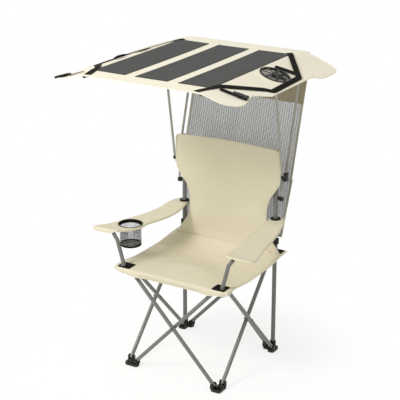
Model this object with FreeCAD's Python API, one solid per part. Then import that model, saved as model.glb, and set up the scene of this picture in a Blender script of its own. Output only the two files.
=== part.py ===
import FreeCAD, Part
import math
import os

V = FreeCAD.Vector

# Solar sunshade chair: a folding frame of four crossed leg pairs, a cloth seat and back,
# cloth arms with a cup holder, and a tilting canopy with solar strips and a fan.
# Millimetres, +Z up, the sitter faces -Y, left and right as seen from the front.

# Frame tubes
TUBE_D = 16.0
TUBE_WALL = 1.0
UPRIGHT_D = 18.0
CORNER = 220.0
LAYER = 9.0
PIN_INSET = 30.0
FOOT_PIN_Z = 25.0
HUB_PIN_Z = 430.0
LEG_OVERHANG = 7.0
RIVET_R = 2.5
RIVET_GAP = 0.1
RIVET_HEAD_R = 4.5
RIVET_HEAD_T = 2.0
CHEEK_GAP = 0.6
CHEEK_T = 4.0
CHEEK_R = 9.0

# Feet, hubs and sliders
FOOT_BASE_T = 12.0
FOOT_BOSS_R = 13.0
FOOT_BOSS_H = 40.0
FRONT_FOOT_H = 24.0
HUB_PLATE_LOW = 441.2
HUB_PLATE_TOP = 444.0
HUB_BOSS_R = 14.0
HUB_BOSS_LOW = 422.0
HUB_BOSS_TOP = 452.0
FRONT_BOSS_R = 12.0
FRONT_BOSS_TOP = 448.0
SLIDE_GAP = 0.3
COLLAR_R = 16.0
COLLAR_LOW = 484.0
COLLAR_TOP = 508.0
UPRIGHT_TOP = 885.0

# Arm posts, arms and cup holder
POST_X = 229.0
POST_Y = -231.0
POST_BEND_LOW = 453.0
POST_KNEE = (257.0, -233.0, 556.0)
POST_TOP = (277.0, -233.0, 584.0)
ARM_T = 8.0
EYELET_Z = 590.0
EYELET_R = 20.0
EYELET_CORE_R = 14.0
EYELET_GAP = 0.5
CUP_X = -274.0
CUP_Y = -114.0
CUP_RIM_R = 49.0
CUP_WALL_R = 43.5
CUP_WALL_T = 1.5
CUP_LOW = 493.0
CUP_TOP = 580.0

# Canopy
MAST_X = 245.5
MAST_Y = 222.0
MAST_D = 9.0
PIVOT_Z = 785.0
ROD_D = 10.0
ROD_X = 256.0
RAIL_X = 251.0
CLIP_LOW = 677.0
CLIP_H = 16.0
PIVOT_BAR_LOW = 779.0
CANOPY_Z = 1283.0
CANOPY_HALF = 264.0
CANOPY_FRONT = -445.0
CANOPY_REAR = 336.0
CANOPY_SKIRT = 425.0
CLOTH_T = 3.0
WING_SLOPE = 0.324
REAR_SLOPE = 0.3
STRIP_W = 140.0
STRIP_PITCH = 185.0
STRIP_FRONT = -362.0
STRIP_REAR = 246.0
STRIP_T = 2.5
FAN_X = 324.0
FAN_Y = -12.0
FAN_R = 57.0

# The footprint's centre lies a little behind the middle of the whole chair.
SHIFT_Y = 11.36

os.makedirs("parts", exist_ok=True)


def put(name, shape):
    """Write one node, moved from the footprint's frame to the chair's frame."""
    moved = shape.copy()
    moved.translate(V(0, SHIFT_Y, 0))
    moved.exportStep("parts/" + name + ".step")


def turned(shape, quarters):
    """The shape turned about the chair's vertical middle by quarter turns."""
    copy = shape.copy()
    copy.rotate(V(0, 0, 0), V(0, 0, 1), 90.0 * quarters)
    return copy


def mirrored(shape):
    return shape.mirror(V(0, 0, 0), V(1, 0, 0))


def rod(start, end, diameter):
    along = end.sub(start)
    return Part.makeCylinder(diameter / 2, along.Length, start, along)


def tube(start, end, diameter, wall):
    return rod(start, end, diameter).cut(rod(start, end, diameter - 2 * wall))


def joined(shapes):
    return shapes[0].fuse(shapes[1:]).removeSplitter()


def rounded_block(x0, x1, y0, y1, z0, z1, radius):
    block = Part.makeBox(x1 - x0, y1 - y0, z1 - z0, V(x0, y0, z0))
    upright_edges = [e for e in block.Edges if abs(e.tangentAt(e.FirstParameter).z) > 0.9]
    return block.makeFillet(radius, upright_edges)


def cheek_pair(x, y, pin_z, base_z):
    """The two cheeks beside a leg's end, drilled for its rivet."""
    pieces = []
    inner = TUBE_D / 2 + CHEEK_GAP
    for y0 in (y + inner, y - inner - CHEEK_T):
        pieces.append(Part.makeCylinder(CHEEK_R, CHEEK_T, V(x, y0, pin_z), V(0, 1, 0)))
        low = min(pin_z, base_z)
        pieces.append(Part.makeBox(2 * CHEEK_R, CHEEK_T, abs(base_z - pin_z), V(x - CHEEK_R, y0, low)))
    return joined(pieces)


def rivet_hole(x, y, z):
    return Part.makeCylinder(RIVET_R + RIVET_GAP, 60, V(x, y - 30, z), V(0, 1, 0))


def rivet(x, y0, y1, z):
    shank = Part.makeCylinder(RIVET_R, y1 - y0, V(x, y0, z), V(0, 1, 0))
    head = Part.makeCylinder(RIVET_HEAD_R, RIVET_HEAD_T, V(x, y0 - RIVET_HEAD_T, z), V(0, 1, 0))
    tail = Part.makeCylinder(RIVET_HEAD_R, RIVET_HEAD_T, V(x, y1, z), V(0, 1, 0))
    return joined([shank, head, tail])


PIN = CORNER - PIN_INSET
OUTER_Y = -CORNER - LAYER
INNER_Y = -CORNER + LAYER
CROSS_Z = (FOOT_PIN_Z + HUB_PIN_Z) / 2
CHEEK_OUT = TUBE_D / 2 + CHEEK_GAP + CHEEK_T


# Legs: each side is a crossed pair; the outer leg stands on the right foot of its side.
def leg(foot_x, y):
    foot = V(foot_x, y, FOOT_PIN_Z)
    hub = V(-foot_x, y, HUB_PIN_Z)
    along = hub.sub(foot).normalize()
    body = tube(foot.sub(along * LEG_OVERHANG), hub.add(along * LEG_OVERHANG), TUBE_D, TUBE_WALL)
    for x, z in ((foot_x, FOOT_PIN_Z), (0, CROSS_Z), (-foot_x, HUB_PIN_Z)):
        body = body.cut(rivet_hole(x, y, z))
    return body


def leg_rivets(foot_x, y, crossing):
    low = y - CHEEK_OUT
    high = y + CHEEK_OUT
    pins = [rivet(foot_x, low, high, FOOT_PIN_Z), rivet(-foot_x, low, high, HUB_PIN_Z)]
    if crossing:
        pins.append(rivet(0, OUTER_Y - TUBE_D / 2, INNER_Y + TUBE_D / 2, CROSS_Z))
    return Part.makeCompound(pins)


SIDES = ("front", "right", "rear", "left")
for quarters, side in enumerate(SIDES):
    put("leg_" + side + "_outer", turned(leg(PIN, OUTER_Y), quarters))
    put("leg_" + side + "_inner", turned(leg(-PIN, INNER_Y), quarters))
    put("rivets_" + side + "_outer", turned(leg_rivets(PIN, OUTER_Y, True), quarters))
    put("rivets_" + side + "_inner", turned(leg_rivets(-PIN, INNER_Y, False), quarters))


# Feet: one moulding for all corners, bored for the upright at the rear.
def foot(bored):
    edge = 234 if bored else 226
    front_arm = rounded_block(181, edge, -242, -212, 0, FOOT_BASE_T, 10)
    side_arm = rounded_block(198, edge, -242, -181, 0, FOOT_BASE_T, 10)
    base = joined([front_arm, side_arm])
    boss_h = FOOT_BOSS_H if bored else FRONT_FOOT_H
    boss_at = CORNER if bored else CORNER - 7
    boss = Part.makeCylinder(FOOT_BOSS_R, boss_h, V(boss_at, -boss_at, 0))
    top = [e for e in boss.Edges if abs(e.BoundBox.ZMin - boss_h) < 0.01 and e.Closed]
    boss = boss.makeFillet(3.0, top)
    front = cheek_pair(PIN, OUTER_Y, FOOT_PIN_Z, FOOT_BASE_T - 2)
    side = turned(cheek_pair(-PIN, INNER_Y, FOOT_PIN_Z, FOOT_BASE_T - 2), 1)
    body = joined([base, boss, front, side])
    body = body.cut(rivet_hole(PIN, OUTER_Y, FOOT_PIN_Z))
    body = body.cut(turned(rivet_hole(-PIN, INNER_Y, FOOT_PIN_Z), 1))
    if bored:
        body = body.cut(Part.makeCylinder(UPRIGHT_D / 2, FOOT_BOSS_H, V(CORNER, -CORNER, FOOT_BASE_T)))
    return body


put("foot_front_right", turned(foot(False), 0))
put("foot_rear_right", turned(foot(True), 1))
put("foot_rear_left", turned(foot(True), 2))
put("foot_front_left", turned(foot(False), 3))


# Hubs hold the arm posts at the front; the same moulding slides on the uprights at the rear.
def hub(bore_r, boss_r, boss_top, boss_x, boss_y):
    plate = rounded_block(177, 243, -243, -177, HUB_PLATE_LOW, HUB_PLATE_TOP, 14)
    boss_h = boss_top - HUB_BOSS_LOW
    boss = Part.makeCylinder(boss_r, boss_h, V(boss_x, boss_y, HUB_BOSS_LOW))
    front = cheek_pair(PIN, INNER_Y, HUB_PIN_Z, HUB_PLATE_LOW + 2)
    side = turned(cheek_pair(-PIN, OUTER_Y, HUB_PIN_Z, HUB_PLATE_LOW + 2), 1)
    body = joined([plate, boss, front, side])
    body = body.cut(rivet_hole(PIN, INNER_Y, HUB_PIN_Z))
    body = body.cut(turned(rivet_hole(-PIN, OUTER_Y, HUB_PIN_Z), 1))
    return body.cut(Part.makeCylinder(bore_r, boss_h, V(boss_x, boss_y, HUB_BOSS_LOW)))


right_hub = hub(TUBE_D / 2, FRONT_BOSS_R, FRONT_BOSS_TOP, POST_X, POST_Y)
left_hub = hub(TUBE_D / 2, FRONT_BOSS_R, FRONT_BOSS_TOP, -POST_Y, -POST_X)
put("hub_front_right", right_hub)
put("hub_front_left", turned(left_hub, 3))

# Each slider carries a sleeve and an upper collar on its upright.
bore = UPRIGHT_D / 2 + SLIDE_GAP
at = V(CORNER, CORNER, HUB_BOSS_TOP)
sleeve = Part.makeCylinder(bore + 1.3, COLLAR_LOW - HUB_BOSS_TOP, at)
sleeve = sleeve.cut(Part.makeCylinder(bore, COLLAR_LOW - HUB_BOSS_TOP, at))
at = V(CORNER, CORNER, COLLAR_LOW)
collar = Part.makeCylinder(COLLAR_R, COLLAR_TOP - COLLAR_LOW, at)
collar = collar.makeFillet(3.0, [e for e in collar.Edges if e.Closed])
collar = collar.cut(Part.makeCylinder(bore, COLLAR_TOP - COLLAR_LOW, at))
put("sleeve_rear_right", sleeve)
put("sleeve_rear_left", mirrored(sleeve))
rear_hub = hub(bore, HUB_BOSS_R, HUB_BOSS_TOP, CORNER, -CORNER)
put("slider_rear_right", Part.makeCompound([turned(rear_hub, 1), collar]))
put("slider_rear_left", Part.makeCompound([turned(rear_hub, 2), mirrored(collar)]))

# Rear uprights stand in the rear feet and run up into the backrest.
upright = tube(V(CORNER, CORNER, FOOT_BASE_T), V(CORNER, CORNER, UPRIGHT_TOP), UPRIGHT_D, TUBE_WALL)
put("upright_right", upright)
put("upright_left", mirrored(upright))


# Bent posts carry the arms' front ends.
def bent_post(diameter):
    points = [V(POST_X, POST_Y, HUB_BOSS_LOW + 2), V(POST_X, POST_Y, POST_BEND_LOW)]
    points += [V(*POST_KNEE), V(*POST_TOP)]
    path = Part.makePolygon(points)
    ring = Part.Wire(Part.makeCircle(diameter / 2, points[0], V(0, 0, 1)))
    return path.makePipeShell([ring], True, False, 2)


post = bent_post(TUBE_D).cut(bent_post(TUBE_D - 2 * TUBE_WALL))
put("post_right", post)
put("post_left", mirrored(post))


# Arms: a cloth band that sags between the post and the upright, with a pocket over the post's top.
def curve(points):
    spline = Part.BSplineCurve()
    spline.interpolate(points)
    return spline.toShape()


def line(a, b):
    return Part.makeLine(a, b)


ARM_OUTER = ((356, -243), (348, -185), (331, -100), (307, 0), (288, 100), (268, 195), (252, 238))
ARM_INNER = ((205, 238), (194, 150), (199, 80), (209, 0), (219, -80), (228, -170), (246, -237))
ARM_SIDE = ((-260, 596), (-228, 590), (-195, 580), (-160, 572.5), (-110, 570), (-60, 568.5), (0, 565),
            (60, 563), (120, 567.5), (165, 578), (197, EYELET_Z - ARM_T / 2))
ARM_END_Y = 262.0
outer = [V(x, y, 0) for x, y in ARM_OUTER]
inner = [V(x, y, 0) for x, y in ARM_INNER]
outline = [curve(outer), line(outer[-1], inner[0]), curve(inner), line(inner[-1], outer[0])]
band = Part.Face(Part.Wire(outline)).extrude(V(0, 0, 1000))
low = [V(0, y, z) for y, z in ARM_SIDE]
high = [p.add(V(0, 0, ARM_T)) for p in low]
low_end = V(0, ARM_END_Y, EYELET_Z - ARM_T / 2)
high_end = V(0, ARM_END_Y, EYELET_Z + ARM_T / 2)
side_edges = [curve(low), line(low[-1], low_end), line(low_end, high_end), line(high_end, high[-1])]
side_edges += [curve(high[::-1]), line(high[0], low[0])]
arm = band.common(Part.Face(Part.Wire(side_edges)).extrude(V(500, 0, 0)))
pocket = rounded_block(246, 352, -241, -229, 574, 600, 4).common(band)
arm = joined([arm, pocket])
arm = arm.cut(bent_post(TUBE_D + 1.2))
arm = arm.cut(Part.makeCylinder(EYELET_CORE_R + 0.4, 60, V(CORNER, CORNER, 560)))
left_arm = mirrored(arm).cut(Part.makeCylinder(CUP_WALL_R + 2.5, 60, V(CUP_X, CUP_Y, 550)))
put("arm_right", arm)
put("arm_left", left_arm)

core_h = ARM_T + 2 * EYELET_GAP
core_low = EYELET_Z - core_h / 2
eyelet = Part.makeCylinder(EYELET_CORE_R, core_h, V(CORNER, CORNER, core_low))
upper = Part.makeCylinder(EYELET_R, 3, V(CORNER, CORNER, core_low + core_h))
lower = Part.makeCylinder(EYELET_R, 3, V(CORNER, CORNER, core_low - 3))
eyelet = joined([eyelet, upper, lower])
eyelet = eyelet.cut(Part.makeCylinder(UPRIGHT_D / 2 + 0.4, 40, V(CORNER, CORNER, 570)))
put("eyelet_right", eyelet)
put("eyelet_left", mirrored(eyelet))

# Cup holder: a stiff rim on the left arm and a net basket hung through the arm.
rim = Part.makeTorus(CUP_RIM_R, 3.0, V(CUP_X, CUP_Y, CUP_TOP + 4.0), V(0, 0, 1))
put("cup_rim", rim)
height = CUP_TOP - CUP_LOW
basket = Part.makeCylinder(CUP_WALL_R, height, V(CUP_X, CUP_Y, CUP_LOW))
basket = basket.cut(Part.makeCylinder(CUP_WALL_R - CUP_WALL_T, height, V(CUP_X, CUP_Y, CUP_LOW + 2)))
put("cup_basket", basket)


# Cloth sheets: a smooth face through rows of points, given a thickness along one direction.
def sheet(rows, thickness):
    surface = Part.BSplineSurface()
    surface.interpolate(rows)
    return Part.Face(surface).extrude(thickness)


SEAT_HALF = 261.0
SEAT_SIDE_Z = 438.0
SEAT_CORNER_Z = 452.0
SEAT_SAG = 32.0
SEAT_ROWS = 14
STEPS = [-1.0, -0.75, -0.5, -0.25, 0.0, 0.25, 0.5, 0.75, 1.0]


def seat_rows(profile):
    """Cross rows along a side profile of (y, z): raised at the corners and dished between them."""
    side = Part.BSplineCurve()
    side.interpolate([V(0, y, z) for y, z in profile])
    rows = []
    for p in side.discretize(Number=SEAT_ROWS):
        sag = SEAT_SAG * max(0.1, 1.0 - (p.y / SEAT_HALF) ** 2)
        rows.append([V(t * SEAT_HALF, p.y, p.z - sag * math.cos(t * math.pi / 2) ** 3) for t in STEPS])
    return rows


SEAT_FRONT = ((0, SEAT_SIDE_Z), (-90, SEAT_SIDE_Z + 1), (-145, SEAT_SIDE_Z + 7), (-177, SEAT_CORNER_Z - 2),
              (-215, SEAT_CORNER_Z), (-245, SEAT_CORNER_Z - 1), (-260, SEAT_CORNER_Z - 12),
              (-264, SEAT_CORNER_Z - 32))
seat_front = sheet(seat_rows(SEAT_FRONT), V(0, 2, -3))
for sign in (1, -1):
    seat_front = seat_front.cut(Part.makeCylinder(FRONT_BOSS_R + 1, 60, V(sign * POST_X, POST_Y, 430)))
put("seat_front", seat_front)

SEAT_REAR = ((2.5, SEAT_SIDE_Z), (90, SEAT_SIDE_Z + 1), (145, SEAT_SIDE_Z + 7), (177, SEAT_CORNER_Z - 1),
             (240, SEAT_CORNER_Z + 2))
seat_rear = sheet(seat_rows(SEAT_REAR), V(0, 0, -3))
for sign in (1, -1):
    seat_rear = seat_rear.cut(Part.makeCylinder(15.0, 60, V(sign * CORNER, CORNER, 430)))
put("seat_rear", seat_rear)

# Backrest: a dished cloth panel whose ears carry sleeves round the uprights.
BACK_HALF = ((458, 248), (470, 239), (492, 221), (510, 210), (530, 198), (550, 191), (590, 189), (640, 191),
             (682, 203), (732, 230), (772, 248), (830, 248.5), (893, 248))
side = Part.BSplineCurve()
side.interpolate([V(half, 0, z) for z, half in BACK_HALF])
back_rows = []
for p in side.discretize(Number=16):
    back_rows.append([V(t * p.x, 198 + 22 * (1 - t * t) ** 2, p.z) for t in STEPS])
backrest = sheet(back_rows, V(0, 4, 0))
EAR_LOW = 812.0
EAR_H = 74.0
EAR_REACH = 10.0


def ear_slot(radius):
    block = Part.makeBox(EAR_REACH, 2 * radius, EAR_H, V(217, CORNER - radius, EAR_LOW))
    ends = [Part.makeCylinder(radius, EAR_H, V(x, CORNER, EAR_LOW)) for x in (217, 217 + EAR_REACH)]
    return joined([block] + ends)


ear = ear_slot(15.0).cut(ear_slot(12.0))
web = Part.makeBox(26, 5, EAR_H, V(214, 201, EAR_LOW))
ear = joined([ear, web])
backrest = joined([backrest, ear, mirrored(ear)])
put("backrest", backrest)

# Canopy masts beside the uprights, held by a low clip and the pivot block.
mast = tube(V(MAST_X, MAST_Y, CLIP_LOW + 4), V(MAST_X, MAST_Y, PIVOT_BAR_LOW), MAST_D, 1.0)
put("mast_right", mast)
put("mast_left", mirrored(mast))


def snap_band(low, high):
    """A band that snaps round the rear half of the upright, with a bar out to the mast."""
    ring = Part.makeCylinder(UPRIGHT_D / 2 + 3.5, high - low, V(CORNER, CORNER, low))
    ring = ring.cut(Part.makeBox(60, 30, 60, V(CORNER - 30, CORNER - 31, low - 10)))
    bar = Part.makeBox(30.5, 12, high - low, V(CORNER, MAST_Y - 6, low))
    return [ring, bar]


upright_bore = Part.makeCylinder(UPRIGHT_D / 2, 200, V(CORNER, CORNER, 640))
clip_block = rounded_block(235, 251.5, 214, 230, CLIP_LOW, CLIP_LOW + CLIP_H, 3)
clip = joined(snap_band(CLIP_LOW + 2, CLIP_LOW + CLIP_H - 2) + [clip_block])
clip = clip.cut(upright_bore).cut(Part.makeCylinder(MAST_D / 2, 30, V(MAST_X, MAST_Y, CLIP_LOW + 4)))
block = joined(snap_band(PIVOT_BAR_LOW, PIVOT_BAR_LOW + 12)).cut(upright_bore)
block = block.cut(Part.makeCylinder(4.2, 20, V(235, MAST_Y, PIVOT_Z), V(1, 0, 0)))
put("mast_clip_right", clip)
put("mast_clip_left", mirrored(clip))
put("pivot_block_right", block)
put("pivot_block_left", mirrored(block))

# Canopy side frames: two rods rise from a pivot hub to a rail under the cloth.
RAIL_FRONT = V(RAIL_X, -430, 1272)
RAIL_REAR = V(RAIL_X, 372, 1254)
rail_solid = rod(RAIL_FRONT, RAIL_REAR, 12)
rail = tube(RAIL_FRONT, RAIL_REAR, 12, 1.0)
front_foot = V(ROD_X, 202, 787)
front_head = V(RAIL_X, 118, 1259)
rear_foot = V(ROD_X, 236, 787)
rear_head = V(RAIL_X, 360, 1254)
front_rod = tube(front_foot, front_head, ROD_D, 1.0).cut(rail_solid)
rear_rod = tube(rear_foot, rear_head, ROD_D, 1.0).cut(rail_solid)
hub_block = rounded_block(251, 264, 216, 243, 763, 795, 4)
hub_arm = rounded_block(251.5, 262, 195, 222, 780, 793, 4)
pivot_hub = joined([hub_block, hub_arm, Part.makeCylinder(4.0, 17, V(236, MAST_Y, PIVOT_Z), V(1, 0, 0))])
pivot_hub = pivot_hub.cut(rod(front_foot, front_head, ROD_D)).cut(rod(rear_foot, rear_head, ROD_D))
SIDE_FRAME = (("rail", rail), ("rod_front", front_rod), ("rod_rear", rear_rod), ("pivot_hub", pivot_hub))
for name, shape in SIDE_FRAME:
    solid = [s for s in shape.Solids if s.BoundBox.DiagonalLength > 40][0]
    put(name + "_right", solid)
    put(name + "_left", mirrored(solid))


# Canopy cloth: a level top, sloping wings with rounded ears, and a short rear slope.
def wing_point(x, y):
    return V(x, y, CANOPY_Z - WING_SLOPE * (x - CANOPY_HALF))


EAR_FRONT = ((300, -446), (352, -436), (386, -392), (384, -335), (366, -268))
EAR_REAR = ((416, 78), (438, 125), (444, 215), (424, 300), (356, 347), (288, 352))
front_ear = [wing_point(x, y) for x, y in EAR_FRONT]
rear_ear = [wing_point(x, y) for x, y in EAR_REAR]
a = wing_point(CANOPY_HALF, CANOPY_FRONT)
b = wing_point(CANOPY_HALF, CANOPY_REAR)
corner = wing_point(416, -194)
edges = [line(a, front_ear[0]), curve(front_ear), line(front_ear[-1], corner)]
edges += [line(corner, rear_ear[0]), curve(rear_ear), line(rear_ear[-1], b), line(b, a)]
down = V(0, 0, -CLOTH_T)
wing = Part.Face(Part.Wire(edges)).extrude(down)
fan_turn = math.degrees(math.atan(WING_SLOPE))
fan_at = wing_point(FAN_X, FAN_Y)


def on_wing(shape):
    """Moves a piece made about the origin onto the fan's seat in the right wing."""
    copy = shape.copy()
    copy.rotate(V(0, 0, 0), V(0, 1, 0), fan_turn)
    copy.translate(fan_at)
    return copy


top = Part.makeBox(2 * CANOPY_HALF, CANOPY_REAR - CANOPY_FRONT, CLOTH_T,
                   V(-CANOPY_HALF, CANOPY_FRONT, CANOPY_Z - CLOTH_T))
skirt_z = CANOPY_Z - REAR_SLOPE * (CANOPY_SKIRT - CANOPY_REAR)
skirt_corners = [V(-CANOPY_HALF, CANOPY_REAR, CANOPY_Z), V(CANOPY_HALF, CANOPY_REAR, CANOPY_Z)]
skirt_corners += [V(CANOPY_HALF, CANOPY_SKIRT, skirt_z), V(-CANOPY_HALF, CANOPY_SKIRT, skirt_z)]
skirt = Part.Face(Part.makePolygon(skirt_corners + skirt_corners[:1])).extrude(down)
gusset_corners = [b, rear_ear[-1], skirt_corners[2], b]
gusset = Part.Face(Part.makePolygon(gusset_corners)).extrude(down)
fan_hole = on_wing(Part.makeCylinder(FAN_R + 0.2, 60, V(0, 0, -30)))
cover = joined([top, wing.cut(fan_hole), mirrored(wing), skirt, gusset, mirrored(gusset)])
put("canopy_cover", cover)

strips = []
for column in (-1, 0, 1):
    corner = V(column * STRIP_PITCH - STRIP_W / 2, STRIP_FRONT, CANOPY_Z)
    strips.append(Part.makeBox(STRIP_W, STRIP_REAR - STRIP_FRONT, STRIP_T, corner))
put("solar_strips", Part.makeCompound(strips))

# Fan: a shallow ring in the wing with a spoked guard below, a flat motor and a bladed rotor.
ring = Part.makeCylinder(FAN_R, 7, V(0, 0, -5))
flange = Part.makeCylinder(FAN_R + 4, 2, V(0, 0, 0.6))
ring = joined([ring, flange]).cut(Part.makeCylinder(FAN_R - 3, 40, V(0, 0, -20)))
SPOKES = 3
pieces = [ring, Part.makeCylinder(13, 2, V(0, 0, -5))]
for i in range(SPOKES):
    spoke = Part.makeBox(FAN_R - 1.5, 2.4, 2, V(0, -1.2, -5))
    spoke.rotate(V(0, 0, 0), V(0, 0, 1), 360.0 * i / SPOKES)
    pieces.append(spoke)
put("fan_housing", on_wing(joined(pieces)))
put("fan_motor", on_wing(Part.makeCylinder(11, 2.7, V(0, 0, -3))))
BLADES = 7
pieces = [Part.makeCylinder(13.5, 5, V(0, 0, 0))]
for i in range(BLADES):
    blade = Part.makeBox(40, 14, 1.4, V(12, -7, -0.7))
    blade.rotate(V(0, 0, 0), V(1, 0, 0), 14)
    blade = blade.common(Part.makeCylinder(FAN_R - 6, 20, V(0, 0, -10)))
    blade.rotate(V(0, 0, 0), V(0, 0, 1), 360.0 * i / BLADES)
    blade.translate(V(0, 0, 2.6))
    pieces.append(blade)
put("fan_rotor", on_wing(joined(pieces)))


# Rear net curtain in two lengths; the upper one hangs in front of the lower and tilts with the canopy.
def curtain(top_half, top_y, top_z, low_half, low_y, low_z):
    corners = [V(-top_half, top_y, top_z), V(top_half, top_y, top_z)]
    corners += [V(low_half, low_y, low_z), V(-low_half, low_y, low_z)]
    return Part.Face(Part.makePolygon(corners + corners[:1])).extrude(V(0, 2, 0))


put("curtain_upper", curtain(264, 416, 1250, 264, 270, 748))
put("curtain_lower", curtain(262, 284.5, 752, 241, 239, 509))
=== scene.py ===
import math
import bmesh
import bpy
import numpy as np
from mathutils import Matrix, Vector


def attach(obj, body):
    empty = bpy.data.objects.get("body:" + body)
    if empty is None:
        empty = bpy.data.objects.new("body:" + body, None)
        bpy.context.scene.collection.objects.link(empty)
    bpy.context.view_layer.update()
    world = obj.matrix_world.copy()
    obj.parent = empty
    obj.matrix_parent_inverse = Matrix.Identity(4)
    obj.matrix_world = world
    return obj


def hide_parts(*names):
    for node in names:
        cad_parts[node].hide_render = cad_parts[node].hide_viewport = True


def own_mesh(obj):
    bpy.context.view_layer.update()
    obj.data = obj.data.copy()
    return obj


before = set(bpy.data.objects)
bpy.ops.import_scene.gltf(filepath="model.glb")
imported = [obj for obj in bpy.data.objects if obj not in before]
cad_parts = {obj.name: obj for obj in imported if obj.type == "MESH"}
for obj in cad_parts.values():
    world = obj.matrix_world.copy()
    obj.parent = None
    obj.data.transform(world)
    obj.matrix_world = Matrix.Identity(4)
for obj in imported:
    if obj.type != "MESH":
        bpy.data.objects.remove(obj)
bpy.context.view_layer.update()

# Points are given in millimetres in the footprint's frame and moved to the chair's frame.
SHIFT_Y = 11.36
CORNER = 220.0
CANOPY_Z = 1283.0
CANOPY_HALF = 264.0
CANOPY_FRONT = -445.0
CANOPY_REAR = 336.0
CANOPY_SKIRT = 425.0
WING_SLOPE = 0.324
REAR_SLOPE = 0.3
PANEL_EDGE = 250.0
FAN = (324.0, -12.0)
FAN_R = 57.0
CUP = (-274.0, -114.0)
CUP_Z = 583.8
POST = (229.0, -231.0)
SEAT_HALF = 261.0
SEAT_FRONT = -245.0
CLOTH = 2.2
# Wave texture scale at which bands repeat every millimetre
WAVE_SCALE = 314.16


def metres(points):
    return (np.asarray(points, float) + (0.0, SHIFT_Y, 0.0)) / 1000.0


def smooth(a, b, x):
    t = np.clip((np.asarray(x, float) - a) / (b - a), 0.0, 1.0)
    return t * t * (3.0 - 2.0 * t)


def eased(at, values, ease):
    """A function through straight runs between the given values, its corners rounded over about ease mm."""
    fine = np.arange(min(at) - 80.0, max(at) + 80.0, 2.0)
    kernel = np.exp(-(np.arange(-24, 25) * 2.0 / ease) ** 2)
    line = np.convolve(np.pad(np.interp(fine, at, values), 24, mode="edge"), kernel / kernel.sum(), "valid")
    return lambda x: np.interp(x, fine, line)


# Materials

def colour(code):
    """Linear colour from an sRGB hex code."""
    out = []
    for i in (0, 2, 4):
        c = int(code[i:i + 2], 16) / 255.0
        out.append(c / 12.92 if c <= 0.04045 else ((c + 0.055) / 1.055) ** 2.4)
    return (*out, 1.0)


def add(tree, kind, sockets=None, **settings):
    """A node with its settings, its inputs set or linked."""
    n = tree.nodes.new(kind)
    for key, value in settings.items():
        setattr(n, key, value)
    for key, value in (sockets or {}).items():
        if isinstance(value, bpy.types.NodeSocket):
            tree.links.new(value, n.inputs[key])
        else:
            n.inputs[key].default_value = value
    return n


def maths(tree, operation, a, b=0.0, c=0.0):
    return add(tree, "ShaderNodeMath", {0: a, 1: b, 2: c}, operation=operation).outputs[0]


def mixed(tree, factor, a, b):
    return add(tree, "ShaderNodeMix", {0: factor, 6: a, 7: b}, data_type="RGBA").outputs[2]


def noise(tree, vector, size_mm, detail=2.0):
    """Noise whose blots are about size_mm across."""
    n = add(tree, "ShaderNodeTexNoise", {"Vector": vector, "Scale": 1000.0 / size_mm, "Detail": detail})
    return n.outputs["Fac"]


def bands(tree, vector, period_mm, direction):
    """Sine bands that repeat every period_mm."""
    n = add(tree, "ShaderNodeTexWave", {"Vector": vector, "Scale": WAVE_SCALE / period_mm},
            bands_direction=direction, wave_type="BANDS")
    return n.outputs["Fac"]


def start(name):
    m = bpy.data.materials.new(name)
    m.use_nodes = True
    m.node_tree.nodes.clear()
    return m, m.node_tree


def finish(tree, base, rough, height, depth_mm, strength=0.6, **more):
    """The surface shader with its bump, linked to the output."""
    depth = depth_mm / 1000.0
    bump = add(tree, "ShaderNodeBump", {"Height": height, "Distance": depth, "Strength": strength})
    sockets = {"Base Color": base, "Roughness": rough, "Normal": bump.outputs[0]}
    sockets.update({k.replace("_", " "): v for k, v in more.items()})
    shader = add(tree, "ShaderNodeBsdfPrincipled", sockets)
    add(tree, "ShaderNodeOutputMaterial", {"Surface": shader.outputs[0]})
    return shader


def weave(tree, vector, yarn_mm):
    """Height of a plain weave with yarns yarn_mm apart."""
    across = bands(tree, vector, yarn_mm, "X")
    along = bands(tree, vector, yarn_mm, "Y")
    squares = {"Vector": vector, "Scale": 1000.0 / yarn_mm, "Color1": (0, 0, 0, 1), "Color2": (1, 1, 1, 1)}
    check = add(tree, "ShaderNodeTexChecker", squares).outputs["Fac"]
    swap = maths(tree, "MULTIPLY", check, maths(tree, "SUBTRACT", across, along))
    return maths(tree, "ADD", along, swap)


def stitches(tree, inset_mm, pitch_mm):
    """Mask of a sewn line that runs inset_mm inside the hem."""
    hem = add(tree, "ShaderNodeAttribute", attribute_name="hem").outputs["Fac"]
    run = add(tree, "ShaderNodeAttribute", attribute_name="run").outputs["Fac"]
    off = maths(tree, "ABSOLUTE", maths(tree, "SUBTRACT", hem, inset_mm / 1000.0))
    line = maths(tree, "LESS_THAN", off, 0.0008)
    beat = maths(tree, "FRACT", maths(tree, "MULTIPLY", run, 1000.0 / pitch_mm))
    return hem, maths(tree, "MULTIPLY", line, maths(tree, "LESS_THAN", beat, 0.66))


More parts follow.
